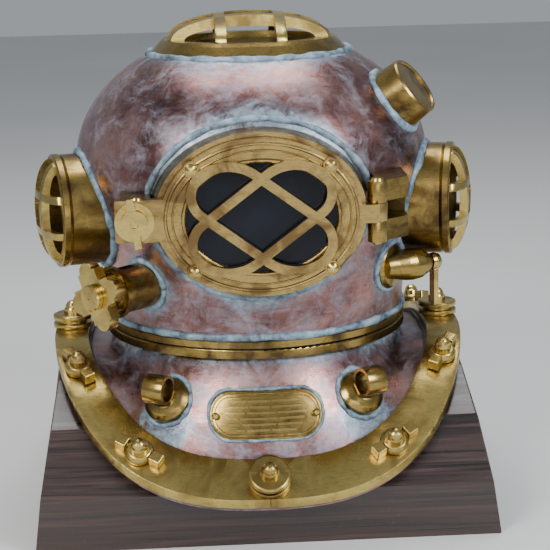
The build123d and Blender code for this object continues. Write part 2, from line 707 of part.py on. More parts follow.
cap_end = body_end + 7.0
hub_r, hub_end = 9.0, cap_end + 7.0
with BuildPart() as exhaust_cap:
    turn(valve_place, [(stem_r + FIT, body_end - 5), (17, body_end - 5), (17, body_end),
                       (21, body_end), (21, cap_end), (hub_r, cap_end), (hub_r, hub_end),
                       (stem_r + FIT, hub_end)])
    with BuildSketch(valve_place.offset(body_end + 2.0)):
        with PolarLocations(21.0, 8, start_angle=22.5):
            Rectangle(5.0, 7.0)
    extrude(amount=5.0, mode=Mode.SUBTRACT)
finish(exhaust_cap, "exhaust_cap")

star_start = cap_end + 1.5
star_end = star_start + 11.0
with BuildPart() as exhaust_star:
    with BuildSketch(valve_place.offset(star_start)):
        Circle(18.0)
        with PolarLocations(23.0, 4, start_angle=25):
            Circle(9.0)
        with PolarLocations(16.0, 4, start_angle=25):
            Rectangle(16.0, 24.0)
    extrude(amount=star_end - star_start)
    bore(valve_place, hub_r + FIT, star_start - 1, hub_end + CLEAR)
    bore(valve_place, stem_r + FIT, star_start, star_end + 1)
finish(exhaust_star, "exhaust_star")

with BuildPart() as exhaust_spindle:
    turn(valve_place, [(0, disc_seat + CLEAR), (14.5, disc_seat + CLEAR), (14.5, disc_seat + 3),
                       (stem_r, disc_seat + 4), (stem_r, star_end + CLEAR), (0, star_end + CLEAR)])
finish(exhaust_spindle, "exhaust_spindle")

with BuildPart() as exhaust_button:
    turn(valve_place, [(0, star_end + CLEAR), (12.0, star_end + CLEAR), (12.0, star_end + 5),
                       (10.8, star_end + 6.5), (0, star_end + 7.0)])
finish(exhaust_button, "exhaust_button")

spring_wire_r, spring_r, spring_turns = 0.8, 8.0, 5
spring_start, spring_end = disc_seat + 4.9, body_end - 6.0
spring_length = spring_end - spring_start
with BuildPart() as exhaust_spring:
    with BuildLine() as coil:
        Helix(pitch=spring_length / spring_turns, height=spring_length, radius=spring_r,
              center=valve_place.origin + valve_place.z_dir * spring_start,
              direction=valve_place.z_dir)
    with BuildSketch(Plane(origin=coil.line @ 0, z_dir=coil.line % 0)):
        Circle(spring_wire_r)
    sweep(is_frenet=True)
finish(exhaust_spring, "exhaust_spring")

# ---- spitcock ----------------------------------------------------------------------
spit_z = NECK_Z + 69.0
spit_start = Vector(124.0, -91.0, spit_z)
spit_heading = radians(112.0)
spit_place = Plane(origin=spit_start, x_dir=(cos(spit_heading), sin(spit_heading), 0),
                   z_dir=(sin(spit_heading), -cos(spit_heading), 0))
egg_end = 43.0
with BuildPart() as spitcock_body:
    turn(radial_plane(56, spit_z), [(0, 138), (22, 138), (22, 151), (19.5, 154), (13, 155.5),
                                    (0, 155.5)])
    turn(spit_place, [(0, -10), (11, -6), (12.5, 4), (14.6, 14), (15.2, 22), (14.0, 31),
                      (10.5, 38), (7.5, 42), (6.5, egg_end), (0, egg_end)])
    bore(spit_place, 4.0 + FIT, 20, 60)
    add(bonnet_outer, mode=Mode.SUBTRACT)
finish(spitcock_body, "spitcock_body")

with BuildPart() as spitcock_plug:
    turn(spit_place, [(0, 20.5), (4.0, 20.5), (4.0, egg_end + CLEAR), (7.8, egg_end + CLEAR),
                      (8.4, egg_end + 4), (7.2, egg_end + 8.5), (4.0, egg_end + 11),
                      (0, egg_end + 11.5)])
finish(spitcock_plug, "spitcock_plug")

lever_drop = 40.0
with BuildPart() as spitcock_lever:
    with BuildSketch(spit_place.offset(egg_end + 2.0)):
        with Locations((0, -lever_drop / 2 - 4.0)):
            SlotOverall(lever_drop, 9.0, rotation=90)
    extrude(amount=4.5)
    add(spitcock_plug.part, mode=Mode.SUBTRACT)
finish(spitcock_lever, "spitcock_lever")

# ---- telephone cup, pipes behind and the safety lock --------------------------------
cup_place = Plane(origin=(135.0, -65.0, NECK_Z + 224.0), x_dir=(0.434, 0.9, 0),
                  z_dir=(0.726, -0.35, 0.593))
with BuildPart() as receiver_cup:
    turn(cup_place, [(0, -12), (30.5, -12), (30, 0), (28.6, 21), (27.2, 22.5), (25.0, 22.5),
                     (24.2, 21.0), (0, 21.0)])
    add(bonnet_outer, mode=Mode.SUBTRACT)
finish(receiver_cup, "receiver_cup")

pipe_r, elbow_r, pipe_run, pipe_drop = 15.0, 26.0, 190.0, 44.0
pipe_turn = radians(62.0)
thread_r, thread_long, hose_bore = 13.0, 16.0, 8.0


def gooseneck_ends(place):
    """Corner of a gooseneck's centre line, and the plane across its free end."""
    corner = place.origin + place.z_dir * pipe_run
    heading = place.z_dir * cos(pipe_turn) - Vector(0, 0, 1) * sin(pipe_turn)
    mouth = Plane(origin=corner + heading * pipe_drop, x_dir=place.x_dir, z_dir=heading)
    return corner, mouth


for name, place in (("air_gooseneck", air_place), ("phone_gooseneck", phone_place)):
    corner, mouth = gooseneck_ends(place)
    with BuildPart() as gooseneck:
        with BuildLine() as centre_line:
            FilletPolyline(place.origin + place.z_dir * 140.0, corner, mouth.origin,
                           radius=elbow_r)
        with BuildSketch(place.offset(140.0)):
            Circle(pipe_r)
        sweep(path=centre_line.line)
        turn(place, [(neck_pipe_bore, 140), (23, 140), (23, 170), (pipe_r - 1, 174),
                     (neck_pipe_bore, 174)])
        with BuildSketch(mouth.offset(-2.0)):
            RegularPolygon(radius=20.0, side_count=6)
        extrude(amount=9.0)
        turn(mouth, [(0, 6), (thread_r - 2, 6), (thread_r - 2, 8.5), (thread_r, 8.5),
                     (thread_r, 7 + thread_long), (0, 7 + thread_long)])
        add(bonnet_outer, mode=Mode.SUBTRACT)
        with BuildSketch(place.offset(140.0)):
            Circle(hose_bore)
        sweep(path=centre_line.line, mode=Mode.SUBTRACT)
        bore(mouth, hose_bore, -1, 40)
    finish(gooseneck, name)

phone_mouth = gooseneck_ends(phone_place)[1]
with BuildPart() as phone_cap:
    turn(phone_mouth, [(0, 7 + thread_long), (thread_r, 7 + thread_long), (thread_r, 9.0),
                       (17.5, 9), (17.5, 24), (15.5, 27), (0, 27)])
finish(phone_cap, "phone_cap")

lock_r, lock_pin_r = 153.5, 2.5
lock_pin_plane = Plane(origin=(-16.0, lock_r, ring_top - 2.5), x_dir=(0, 1, 0), z_dir=(1, 0, 0))
with BuildPart() as lock_bracket:
    with BuildSketch(Plane.XY.offset(ring_bottom + 0.3)):
        for x in (-11.0, 11.0):
            with Locations((x, 151.0)):
                Rectangle(5.0, 14.0)
    extrude(amount=8.5)
    turn(Plane.XY, [(0, 0), (NECK_R, 0), (NECK_R, 400), (0, 400)], Mode.SUBTRACT)
    bore(lock_pin_plane, lock_pin_r, -5, 40)
finish(lock_bracket, "lock_bracket")

with BuildPart() as lock_pin:
    turn(lock_pin_plane, [(0, 0), (lock_pin_r, 0), (lock_pin_r, 32), (0, 32)])
finish(lock_pin, "lock_pin")

with BuildPart() as lock_lever:
    turn(lock_pin_plane.offset(8.0), [(lock_pin_r + FIT, 0), (4.5, 0), (4.5, 16),
                                      (lock_pin_r + FIT, 16)])
    with BuildSketch(Plane.XY.offset(ring_top - 18.0)):
        with Locations((0, lock_r + 2.0)):
            Rectangle(14.0, 4.0)
    extrude(amount=15.0)
    bore(lock_pin_plane, lock_pin_r + FIT, -5, 40)
finish(lock_lever, "lock_lever")
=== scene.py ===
import bpy
import bmesh
import json
import math
import random
from mathutils import Matrix, Vector, noise
from mathutils.bvhtree import BVHTree


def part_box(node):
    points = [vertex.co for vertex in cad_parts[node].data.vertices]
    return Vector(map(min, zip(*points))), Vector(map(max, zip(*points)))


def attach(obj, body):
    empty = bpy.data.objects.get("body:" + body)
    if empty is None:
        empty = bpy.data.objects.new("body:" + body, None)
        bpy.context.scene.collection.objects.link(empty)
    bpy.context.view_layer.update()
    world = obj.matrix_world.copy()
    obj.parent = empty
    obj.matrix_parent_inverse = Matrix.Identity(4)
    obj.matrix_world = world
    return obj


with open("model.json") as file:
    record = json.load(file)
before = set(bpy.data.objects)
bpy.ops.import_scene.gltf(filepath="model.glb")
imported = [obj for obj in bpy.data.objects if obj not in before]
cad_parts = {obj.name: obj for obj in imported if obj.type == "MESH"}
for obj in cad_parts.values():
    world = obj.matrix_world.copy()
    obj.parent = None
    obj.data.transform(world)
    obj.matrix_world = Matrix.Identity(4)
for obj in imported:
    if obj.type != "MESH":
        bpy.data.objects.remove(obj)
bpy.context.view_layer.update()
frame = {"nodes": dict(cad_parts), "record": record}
nodes = frame["nodes"]
random.seed(7)

# ---- sizes, in metres, read from the frame or repeated from the design --------------
NECK_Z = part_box("breastplate_neck_ring")[0].z
NECK_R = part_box("breastplate_neck_ring")[1].x
WAIST_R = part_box("bonnet_shell")[1].x
WAIST_Z = NECK_Z + 0.165
DOME_RISE = 0.124
DOOR_Z = NECK_Z + 0.139
PORT_Z = NECK_Z + 0.125
PORT_AZIMUTH = 76.0
PORT_SLEEVE = 0.054            # radius of a side port where it meets the copper
EXHAUST_AZIMUTH, EXHAUST_Z, EXHAUST_SLEEVE = -45, NECK_Z + 0.064, 0.022
SPITCOCK_AZIMUTH, SPITCOCK_Z, SPITCOCK_SLEEVE = 56, NECK_Z + 0.069, 0.023
CUP_AT, CUP_AXIS, CUP_SLEEVE = (0.135, -0.065, NECK_Z + 0.224), (0.726, -0.35, 0.593), 0.031
PIPE_AZIMUTHS, PIPE_Z, PIPE_SLEEVE = (("air", 148), ("phone", -148)), NECK_Z + 0.150, 0.024
PADEYE_X, PADEYE_Y, PADEYE_Z = 0.088, -0.141, NECK_Z - 0.038
PADEYE_AXIS_X, PADEYE_AXIS_Y, PADEYE_AXIS_Z = 0.36, -0.655, 0.66
DOOR_FACE_Y = -0.190           # front face of the window's ring
SINK = 0.0005                  # how far a bead's line lies inside a measured outline


# ---- small helpers ------------------------------------------------------------------
def place_at(azimuth, z, out=0.0):
    """Matrix whose local Z points out of the helmet's axis and local Y up."""
    a = math.radians(azimuth)
    normal = Vector((math.sin(a), -math.cos(a), 0))
    side = Vector((math.cos(a), math.sin(a), 0))
    place = Matrix((side, Vector((0, 0, 1)), normal)).transposed().to_4x4()
    place.translation = normal * out + Vector((0, 0, z))
    return place


def frame_on(origin, normal, up=(0, 0, 1)):
    """Matrix at origin whose local Z is normal and local Y is as near up as it can be."""
    normal = Vector(normal).normalized()
    side = Vector(up).cross(normal).normalized()
    place = Matrix((side, normal.cross(side), normal)).transposed().to_4x4()
    place.translation = Vector(origin)
    return place


def bonnet_radius(z):
    """Outside radius of the copper bonnet at a height."""
    if z >= WAIST_Z:
        rise = min((z - WAIST_Z) / DOME_RISE, 0.999)
        return WAIST_R * math.sqrt(1 - rise * rise)
    stations = [(0.017, 0.1455), (0.040, 0.1465), (0.065, 0.149), (0.098, 0.156),
                (0.132, 0.1655), (0.165, 0.170)]
    h = z - NECK_Z
    for (h0, r0), (h1, r1) in zip(stations, stations[1:]):
        if h <= h1:
            return r0 + (r1 - r0) * (h - h0) / (h1 - h0)
    return WAIST_R


def on_bonnet(place, x, y, grow=0.0):
    """Point of the bonnet straight below (x, y) of a fitting's plane."""
    low, high = 0.0, 0.30
    for _ in range(30):
        mid = (low + high) / 2
        p = place @ Vector((x, y, mid))
        inside = math.hypot(p.x, p.y) < bonnet_radius(p.z) + grow and p.z < WAIST_Z + DOME_RISE
        low, high = (mid, high) if inside else (low, mid)
    return place @ Vector((x, y, low))


def skin_of(node):
    """Search tree over a CAD node's surface."""
    mesh = nodes[node].data
    return BVHTree.FromPolygons([v.co.copy() for v in mesh.vertices],
                                [tuple(p.vertices) for p in mesh.polygons])


def drop(skin, start, heading, lift=0.0):
    """Point where a line from start meets the skin, lifted back along the line."""
    heading = Vector(heading).normalized()
    hit = skin.ray_cast(Vector(start), heading)[0]
    return None if hit is None else hit - heading * lift


def slot_outline(half_length, half_height, count=96):
    """Points (x, z) evenly spread over a slot's outline."""
    straight = half_length - half_height
    total = 4 * straight + 2 * math.pi * half_height
    points = []
    for i in range(count):
        s = total * i / count
        if s < 2 * straight:
            points.append((-straight + s, half_height))
        elif s < 2 * straight + math.pi * half_height:
            a = math.pi / 2 - (s - 2 * straight) / half_height
            points.append((straight + half_height * math.cos(a), half_height * math.sin(a)))
        elif s < 4 * straight + math.pi * half_height:
            points.append((straight - (s - 2 * straight - math.pi * half_height), -half_height))
        else:
            a = -math.pi / 2 - (s - 4 * straight - math.pi * half_height) / half_height
            points.append((-straight + half_height * math.cos(a), half_height * math.sin(a)))
    return points


def new_object(name, mesh, body, material):
    """Link a mesh as a named piece that rides on a body."""
    piece = bpy.data.objects.new(name, mesh)
    bpy.context.scene.collection.objects.link(piece)
    piece.data.materials.append(material)
    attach(piece, body)
    return piece


def smooth_by_angle(mesh, angle=35.0):
    """Smooth shading with the edges over an angle kept sharp."""
    for polygon in mesh.polygons:
        polygon.use_smooth = True
    mesh.set_sharp_from_angle(angle=math.radians(angle))


def tube(name, points, radius, body, material, sides=12, rough=0.0, scale=60.0, flat=1.0):
    """Closed bead along a ring of points, with a lumpy surface if rough is over zero."""
    mesh = bpy.data.meshes.new(name)
    bm = bmesh.new()
    rings = []
    centre = sum(points, Vector()) / len(points)
    for i, p in enumerate(points):
        along = (points[(i + 1) % len(points)] - points[i - 1]).normalized()
        out = (p - centre)
        out = (out - along * out.dot(along)).normalized()
        up = along.cross(out)
        ring = []
        for k in range(sides):
            a = 2 * math.pi * k / sides
            q = p + (out * math.cos(a) * flat + up * math.sin(a)) * radius
            lump = noise.noise(q * scale) + 0.5 * noise.noise(q * scale * 2.7)
            ring.append(bm.verts.new(q + (q - p) * lump * rough))
        rings.append(ring)
    for ring, following in zip(rings, rings[1:] + rings[:1]):
        for k in range(sides):
            bm.faces.new((ring[k], ring[(k + 1) % sides], following[(k + 1) % sides], following[k]))
    bmesh.ops.recalc_face_normals(bm, faces=bm.faces)
    bm.to_mesh(mesh)
    bm.free()
    smooth_by_angle(mesh, 80)
    return new_object(name, mesh, body, material)


# ---- materials ----------------------------------------------------------------------
def material(name):
    """Empty node material with a principled shader; returns the tree's helpers."""
    made = bpy.data.materials.new(name)
    made.use_nodes = True
    tree = made.node_tree
    shader = tree.nodes["Principled BSDF"]
    coordinates = tree.nodes.new("ShaderNodeTexCoord")
    return made, tree, shader, coordinates.outputs["Object"]


def noise_node(tree, vector, scale, detail=6.0, rough=0.55, distortion=0.0):
    node = tree.nodes.new("ShaderNodeTexNoise")
    node.inputs["Scale"].default_value = scale
    node.inputs["Detail"].default_value = detail
    node.inputs["Roughness"].default_value = rough
    node.inputs["Distortion"].default_value = distortion
    tree.links.new(vector, node.inputs["Vector"])
    return node.outputs["Fac"]


def ramp(tree, value, *stops):
    """Colour ramp; stops are (position, (r, g, b)) or (position, grey)."""
    node = tree.nodes.new("ShaderNodeValToRGB")
    elements = node.color_ramp.elements
    while len(elements) < len(stops):
        elements.new(0.5)
    for element, (position, colour) in zip(elements, stops):
        element.position = position
        grey = not isinstance(colour, tuple)
        element.color = (colour, colour, colour, 1) if grey else (*colour, 1)
    tree.links.new(value, node.inputs["Fac"])
    return node.outputs["Color"]


def mix(tree, factor, first, second, blend="MIX"):
    node = tree.nodes.new("ShaderNodeMix")
    node.data_type = "RGBA"
    node.blend_type = blend
    tree.links.new(factor, node.inputs["Factor"])
    for value, socket in ((first, node.inputs[6]), (second, node.inputs[7])):
        if isinstance(value, tuple):
            socket.default_value = (*value, 1)
        else:
            tree.links.new(value, socket)
    return node.outputs[2]


def stretched(tree, vector, scale):
    """Coordinates stretched along an axis, for grain and brushing."""
    node = tree.nodes.new("ShaderNodeMapping")
    node.inputs["Scale"].default_value = scale
    tree.links.new(vector, node.inputs["Vector"])
    return node.outputs["Vector"]


def bump(tree, height, shader, strength, distance=0.001):
    node = tree.nodes.new("ShaderNodeBump")
    node.inputs["Strength"].default_value = strength
    node.inputs["Distance"].default_value = distance
    tree.links.new(height, node.inputs["Height"])
    tree.links.new(node.outputs["Normal"], shader.inputs["Normal"])


def maths(tree, operation, first, second):
    """Math node on two values; a number goes straight into its socket."""
    node = tree.nodes.new("ShaderNodeMath")
    node.operation = operation
    for value, socket in zip((first, second), node.inputs):
        if isinstance(value, float):
            socket.default_value = value
        else:
            tree.links.new(value, socket)
    return node.outputs["Value"]


def near_fitting(tree, where, centre, axis, radius, reach):
    """1 at a round fitting's radius, 0 past its reach, and only on its own side."""
    offset = tree.nodes.new("ShaderNodeVectorMath")
    offset.operation = "SUBTRACT"
    tree.links.new(where, offset.inputs[0])
    offset.inputs[1].default_value = centre
    across = tree.nodes.new("ShaderNodeVectorMath")
    across.operation = "CROSS_PRODUCT"
    tree.links.new(offset.outputs["Vector"], across.inputs[0])
    across.inputs[1].default_value = axis
    length = tree.nodes.new("ShaderNodeVectorMath")
    length.operation = "LENGTH"
    tree.links.new(across.outputs["Vector"], length.inputs[0])
    along = tree.nodes.new("ShaderNodeVectorMath")
    along.operation = "DOT_PRODUCT"
    tree.links.new(offset.outputs["Vector"], along.inputs[0])
    along.inputs[1].default_value = axis
    gap = maths(tree, "SUBTRACT", length.outputs["Value"], radius)
    near = maths(tree, "SUBTRACT", 1.0, maths(tree, "DIVIDE", gap, reach))
    near = maths(tree, "MINIMUM", maths(tree, "MAXIMUM", near, 0.0), 1.0)
    return maths(tree, "MULTIPLY", near,
                 maths(tree, "GREATER_THAN", along.outputs["Value"], 0.0))


def copper_material(name, fittings):
    """Old copper: purple-brown in random tones, with painted pink highlights in places and
    blue-white bloom by the fittings.
    """
    made, tree, shader, where = material(name)
    broad = noise_node(tree, where, 11.0, 10.0, 0.66, 0.5)
    cloud = noise_node(tree, where, 34.0, 12.0, 0.74, 0.7)
    fine = noise_node(tree, where, 170.0, 10.0, 0.74, 0.3)
    wiped = noise_node(tree, stretched(tree, where, (10.0, 10.0, 42.0)), 3.0, 8.0, 0.7, 0.9)
    # Random copper tone; its pinkest top stop is a painted highlight wherever the noise runs high.
    copper_tone_and_highlight = ramp(tree, broad, (0.34, (0.085, 0.042, 0.040)), (0.46, (0.20, 0.098, 0.090)),
                 (0.56, (0.34, 0.175, 0.155)), (0.70, (0.56, 0.32, 0.28)))
    haze_colour = ramp(tree, fine, (0.38, (0.17, 0.19, 0.25)), (0.62, (0.46, 0.48, 0.56)))
    haze = ramp(tree, cloud, (0.45, 0.0), (0.57, 0.42), (0.72, 0.80))
    colour = mix(tree, haze, copper_tone_and_highlight, haze_colour)
    streak = ramp(tree, wiped, (0.50, 0.0), (0.62, 0.28), (0.75, 0.5))
    colour = mix(tree, streak, colour, (0.36, 0.34, 0.40))
    speck = ramp(tree, fine, (0.55, 0.0), (0.66, 0.55))
    colour = mix(tree, speck, colour, (0.055, 0.030, 0.030))
    bloom = None
    for centre, axis, radius, reach in fittings:
        one = near_fitting(tree, where, centre, axis, radius, reach)
        bloom = one if bloom is None else maths(tree, "MAXIMUM", bloom, one)
    edge = maths(tree, "MULTIPLY", maths(tree, "POWER", bloom, 1.6),
                 maths(tree, "ADD", maths(tree, "MULTIPLY", cloud, 2.6), -0.45))
    bloom_colour = ramp(tree, fine, (0.38, (0.12, 0.17, 0.23)), (0.64, (0.36, 0.46, 0.54)))
    edge = ramp(tree, edge, (0.16, 0.0), (0.80, 0.85))
    colour = mix(tree, edge, colour, bloom_colour)
    tree.links.new(colour, shader.inputs["Base Color"])
    bare = ramp(tree, maths(tree, "MAXIMUM", cloud, edge), (0.5, 0.96), (0.78, 0.35))
    tree.links.new(bare, shader.inputs["Metallic"])
    tree.links.new(ramp(tree, cloud, (0.40, 0.25), (0.70, 0.50)), shader.inputs["Roughness"])
    bump(tree, fine, shader, 0.22)
    return made


def brass_material(name, light, dark, patch, rough_low, rough_high):
    """Brass with darker patches, fine brushing and uneven gloss."""
    made, tree, shader, where = material(name)
    cloud = noise_node(tree, where, 26.0, 8.0, 0.62, 0.7)
    fine = noise_node(tree, stretched(tree, where, (1.0, 1.0, 6.0)), 160.0, 6.0, 0.6)
    colour = ramp(tree, cloud, (0.5 - patch, dark), (0.56, light))
    grime = ramp(tree, fine, (0.30, 0.45), (0.52, 0.0))
    colour = mix(tree, grime, colour, dark)
    tree.links.new(colour, shader.inputs["Base Color"])
    shader.inputs["Metallic"].default_value = 1.0
    tree.links.new(ramp(tree, cloud, (0.35, rough_high), (0.65, rough_low)),
                   shader.inputs["Roughness"])
    bump(tree, fine, shader, 0.10, 0.0006)
    return made


def crust_material():
    """Solder line under a chalky pale blue patina."""
    made, tree, shader, where = material("solder_patina")
    cloud = noise_node(tree, where, 55.0, 8.0, 0.7, 0.6)
    fine = noise_node(tree, where, 240.0, 6.0, 0.7)
    colour = ramp(tree, cloud, (0.36, (0.06, 0.08, 0.10)), (0.47, (0.15, 0.22, 0.29)),
                  (0.58, (0.27, 0.38, 0.46)), (0.72, (0.44, 0.52, 0.57)))
    tree.links.new(colour, shader.inputs["Base Color"])
    shader.inputs["Metallic"].default_value = 0.25
    tree.links.new(ramp(tree, fine, (0.3, 0.42), (0.7, 0.7)), shader.inputs["Roughness"])
    bump(tree, fine, shader, 0.35)
    return made


def wood_material():
    """Dark lacquered boards with grain along X, scratches and a worn sheen."""
    made, tree, shader, where = material("dark_wood")
    grain = noise_node(tree, stretched(tree, where, (0.9, 34.0, 34.0)), 6.0, 9.0, 0.62, 0.9)
    broad = noise_node(tree, stretched(tree, where, (1.0, 6.0, 6.0)), 4.0, 4.0, 0.5)
    scratch = noise_node(tree, stretched(tree, where, (60.0, 3.0, 9.0)), 9.0, 3.0, 0.5, 2.5)
    colour = ramp(tree, grain, (0.36, (0.008, 0.005, 0.005)), (0.50, (0.024, 0.011, 0.009)),
                  (0.66, (0.050, 0.023, 0.017)))
    colour = mix(tree, ramp(tree, broad, (0.42, 0.0), (0.66, 0.45)), colour, (0.022, 0.012, 0.011))
    colour = mix(tree, ramp(tree, scratch, (0.70, 0.0), (0.74, 0.35)), colour, (0.20, 0.15, 0.13))
    tree.links.new(colour, shader.inputs["Base Color"])
    tree.links.new(ramp(tree, grain, (0.35, 0.24), (0.65, 0.42)), shader.inputs["Roughness"])
    shader.inputs["Coat Weight"].default_value = 0.6
    shader.inputs["Coat Roughness"].default_value = 0.18
    bump(tree, grain, shader, 0.22, 0.0012)
    return made


def glass_with_painted_shade():
    """Window glass whose near-black colour paints the shade inside the helmet behind it, so only
    its gloss shows.
    """
    made, tree, shader, where = material("dark_glass")
    cloud = noise_node(tree, where, 14.0, 4.0)
    # Near-black base colour: painted shade of the dark inside seen through the window.
    tree.links.new(ramp(tree, cloud, (0.4, (0.002, 0.003, 0.006)), (0.7, (0.006, 0.008, 0.014))),
                   shader.inputs["Base Color"])
    tree.links.new(ramp(tree, cloud, (0.3, 0.03), (0.8, 0.10)), shader.inputs["Roughness"])
    shader.inputs["IOR"].default_value = 1.5
    shader.inputs["Specular IOR Level"].default_value = 0.22
    return made


def gasket_material():
    """Blue-grey sealing strip, dusty."""
    made, tree, shader, where = material("rubber_seal")
    cloud = noise_node(tree, where, 60.0, 8.0, 0.7)
    tree.links.new(ramp(tree, cloud, (0.35, (0.025, 0.032, 0.04)), (0.65, (0.11, 0.14, 0.17))),
                   shader.inputs["Base Color"])
    tree.links.new(ramp(tree, cloud, (0.3, 0.5), (0.7, 0.75)), shader.inputs["Roughness"])
    bump(tree, cloud, shader, 0.3)
    return made


# Round fittings that carry bloom on the copper: centre, axis, radius and reach
BONNET_FITTINGS = [
    ((side * 0.03, 0.0, PORT_Z), (side * math.sin(math.radians(PORT_AZIMUTH)),
                                  -math.cos(math.radians(PORT_AZIMUTH)), 0.0),
     PORT_SLEEVE, 0.016) for side in (-1, 1)
] + [
    ((0.0, 0.0, DOOR_Z), (0.0, -1.0, 0.0), 0.086, 0.022),
    ((0.0, 0.0, NECK_Z + 0.2), (0.0, 0.0, 1.0), 0.096, 0.022),
    ((0.0, 0.0, EXHAUST_Z), (-0.707, -0.707, 0.0), EXHAUST_SLEEVE, 0.020),
    ((0.0, 0.0, SPITCOCK_Z), (0.829, -0.559, 0.0), SPITCOCK_SLEEVE, 0.020),
    (CUP_AT, CUP_AXIS, CUP_SLEEVE, 0.018),
]
COLLAR_FITTINGS = [((0.0, 0.0, NECK_Z - 0.2), (0.0, 0.0, 1.0), 0.140, 0.018)] + [
    ((side * PADEYE_X, PADEYE_Y, NECK_Z - 0.060), (side * 0.452, -0.822, 0.35), 0.022, 0.016)
    for side in (-1, 1)
]
COPPER = copper_material("patinated_copper", BONNET_FITTINGS)
COLLAR_COPPER = copper_material("collar_copper", COLLAR_FITTINGS)
AGED = brass_material("aged_brass", (0.36, 0.25, 0.075), (0.085, 0.052, 0.022), 0.15, 0.20, 0.38)
SATIN = brass_material("satin_brass", (0.54, 0.41, 0.13), (0.25, 0.17, 0.055), 0.14, 0.22, 0.36)
BRIGHT = brass_material("bright_brass", (0.62, 0.47, 0.16), (0.34, 0.24, 0.08), 0.12, 0.16, 0.30)
BRONZE = brass_material("bronzed_brass", (0.44, 0.31, 0.115), (0.16, 0.10, 0.04), 0.10, 0.20, 0.34)
CRUST = crust_material()
WOOD = wood_material()
# Window glass painted near black for the shade behind it.
GLASS_WITH_PAINTED_SHADE = glass_with_painted_shade()
GASKET = gasket_material()
STEEL = brass_material("spring_wire", (0.5, 0.5, 0.48), (0.3, 0.3, 0.3), 0.1, 0.25, 0.4)
SLOT_MATERIALS = {"patinated_copper": COPPER, "aged_brass": AGED, "satin_brass": SATIN,
                  "dark_wood": WOOD, "dark_glass": GLASS_WITH_PAINTED_SHADE, "rubber_seal": GASKET,
                  "spring_wire": STEEL}
BRIGHT_NODES = ("exhaust_star", "exhaust_button", "door_rivets", "stud_caps", "spitcock_plug",
                "spitcock_lever", "latch_nut", "latch_pin")

# Width of the rounded edge on each cast or worn piece
ROUNDED = {"door_guard": 0.0016, "left_port_guard": 0.0012, "right_port_guard": 0.0012,
           "top_port_guard": 0.0012, "exhaust_star": 0.0016, "wing_nuts": 0.0012,
           "flanged_nuts": 0.0006, "brail_front_left": 0.0014, "brail_front_right": 0.0014,
           "brail_back_left": 0.0014, "brail_back_right": 0.0014, "latch_nut": 0.0008,
           "hinge_bracket": 0.0008, "latch_boss": 0.0008, "door_ring": 0.0007,
           "nameplate": 0.0006, "stand_staves_front": 0.0012, "stand_ends": 0.0012,
           "stand_stave_crown": 0.0012, "spitcock_lever": 0.0008, "lock_lever": 0.0006,
           "padeye_left": 0.0007, "padeye_right": 0.0007}

# ---- CAD nodes: materials and rounded edges -------------------------------------------
for entry in frame["record"]["subparts"]:
    part = nodes[entry["node"]]
    finish = SLOT_MATERIALS[entry["material_slot"]]
    if entry["node"] in BRIGHT_NODES:
        finish = BRIGHT
    if entry["node"] in ("door_ring", "door_guard", "door_seat"):
        finish = BRONZE
    if entry["node"] == "breastplate_shell":
        finish = COLLAR_COPPER
    part.data.materials.clear()
    part.data.materials.append(finish)
    if entry["node"] in ROUNDED:
        weld = part.modifiers.new("weld", "WELD")
        weld.merge_threshold = 0.00001
        rounded = part.modifiers.new("rounded", "BEVEL")
        rounded.width = ROUNDED[entry["node"]]
        rounded.segments = 3
        rounded.limit_method = "ANGLE"
        rounded.angle_limit = math.radians(40)
        rounded.harden_normals = True


# ---- solder beads round the fittings --------------------------------------------------
def bead_on_bonnet(name, place, half_width, half_height, radius, count=72):
    """Lumpy bead where an upright oval sleeve meets the bonnet."""
    points = []
    for i in range(count):
        a = 2 * math.pi * i / count
        points.append(on_bonnet(place, half_width * math.cos(a), half_height * math.sin(a), 0.0005))
    return tube(name, points, radius, "bonnet", CRUST, rough=0.55)


for label, side in (("left", -1), ("right", 1)):
    bead_on_bonnet(f"{label}_port_solder", place_at(side * PORT_AZIMUTH, PORT_Z),
                   PORT_SLEEVE + SINK, PORT_SLEEVE + SINK, 0.0034)
bead_on_bonnet("door_seat_solder", place_at(0, DOOR_Z), 0.1010, 0.0815, 0.0030)
bead_on_bonnet("exhaust_solder", place_at(EXHAUST_AZIMUTH, EXHAUST_Z),
               EXHAUST_SLEEVE + SINK, EXHAUST_SLEEVE + SINK, 0.0028)
bead_on_bonnet("spitcock_solder", place_at(SPITCOCK_AZIMUTH, SPITCOCK_Z),
               SPITCOCK_SLEEVE + SINK, SPITCOCK_SLEEVE + SINK, 0.0028)
CUP_PLACE = frame_on(CUP_AT, CUP_AXIS)
bead_on_bonnet("cup_solder", CUP_PLACE @ Matrix.Translation((0, 0, -0.09)),
               CUP_SLEEVE + SINK, CUP_SLEEVE + SINK, 0.0034)
for label, azimuth in PIPE_AZIMUTHS:
    bead_on_bonnet(f"{label}_pipe_solder", place_at(azimuth, PIPE_Z), PIPE_SLEEVE, PIPE_SLEEVE,
                   0.003)


def level_ring(radius, z, count=120):
    """Points of a level circle round the neck."""
    return [Vector((radius * math.cos(2 * math.pi * i / count),
                    radius * math.sin(2 * math.pi * i / count), z)) for i in range(count)]


tube("top_port_solder", level_ring(0.0965, NECK_Z + 0.2665), 0.0036, "bonnet", CRUST,
     rough=0.5)
tube("bonnet_neck_solder", level_ring(NECK_R - 0.0015, NECK_Z + 0.0195), 0.0034, "bonnet", CRUST,
     rough=0.45, flat=0.8)

